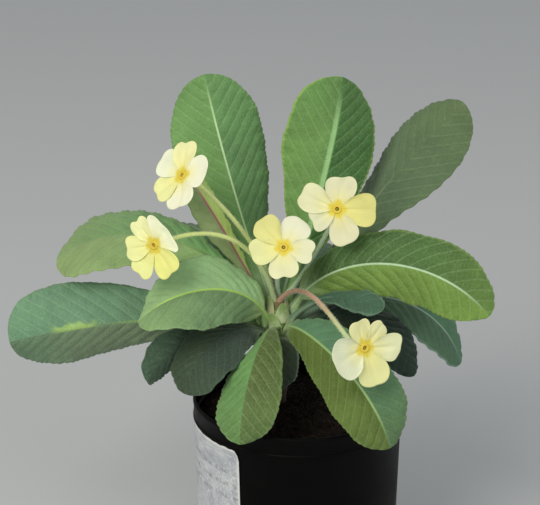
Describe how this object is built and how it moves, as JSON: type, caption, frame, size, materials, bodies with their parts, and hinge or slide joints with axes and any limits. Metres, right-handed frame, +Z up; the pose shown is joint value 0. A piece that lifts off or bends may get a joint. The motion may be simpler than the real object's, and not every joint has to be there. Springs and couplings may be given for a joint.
{
  "type": "potted primrose",
  "caption": "Pale yellow primrose in a black nursery pot: broad arching leaves round a short crown, notched-petal blooms on thin stalks, dark soil and a blank paper label.",
  "frame": {"origin": "on the surface the pot stands on, under the middle of the pot's flat underside", "axes": "+Z up; -Y towards the viewer, the side the flowers face; +X to the viewer's right"},
  "size_m": [0.2352, 0.1625, 0.2482],
  "materials": {
    "pot_plastic": "satin",
    "label_paper": "matte",
    "soil": "matte",
    "crown": "matte",
    "leaf_light": "matte",
    "leaf_olive": "matte",
    "leaf_dark": "matte",
    "leaf_deep": "matte",
    "petal": "matte",
    "flower_stalk": "matte"
  },
  "bodies": {
    "root": {"pot": "pot_plastic", "label": "label_paper", "soil": "soil", "crown": "crown", "leaf_back_left": "leaf_light", "leaf_back_left_low": "leaf_light", "leaf_back_right": "leaf_light", "leaf_far_right": "leaf_olive", "leaf_left_middle": "leaf_light", "leaf_left_long": "leaf_olive", "leaf_left_front": "leaf_light", "leaf_low_left": "leaf_dark", "leaf_low_front_left": "leaf_deep", "leaf_front": "leaf_light", "leaf_front_right": "leaf_olive", "leaf_front_low": "leaf_deep", "leaf_right_front": "leaf_light", "leaf_right_low": "leaf_deep", "leaf_right_dark": "leaf_dark", "leaf_right_small": "leaf_deep", "leaf_behind_left": "leaf_olive", "leaf_behind": "leaf_olive", "leaf_behind_right": "leaf_olive", "bloom_left_upper": "petal", "flower_stalk_left_upper": "flower_stalk", "bloom_left_lower": "petal", "flower_stalk_left_lower": "flower_stalk", "bloom_middle": "petal", "flower_stalk_middle": "flower_stalk", "bloom_right_upper": "petal", "flower_stalk_right_upper": "flower_stalk", "bloom_right_lower": "petal", "flower_stalk_right_lower": "flower_stalk"}
  },
  "joints": []
}
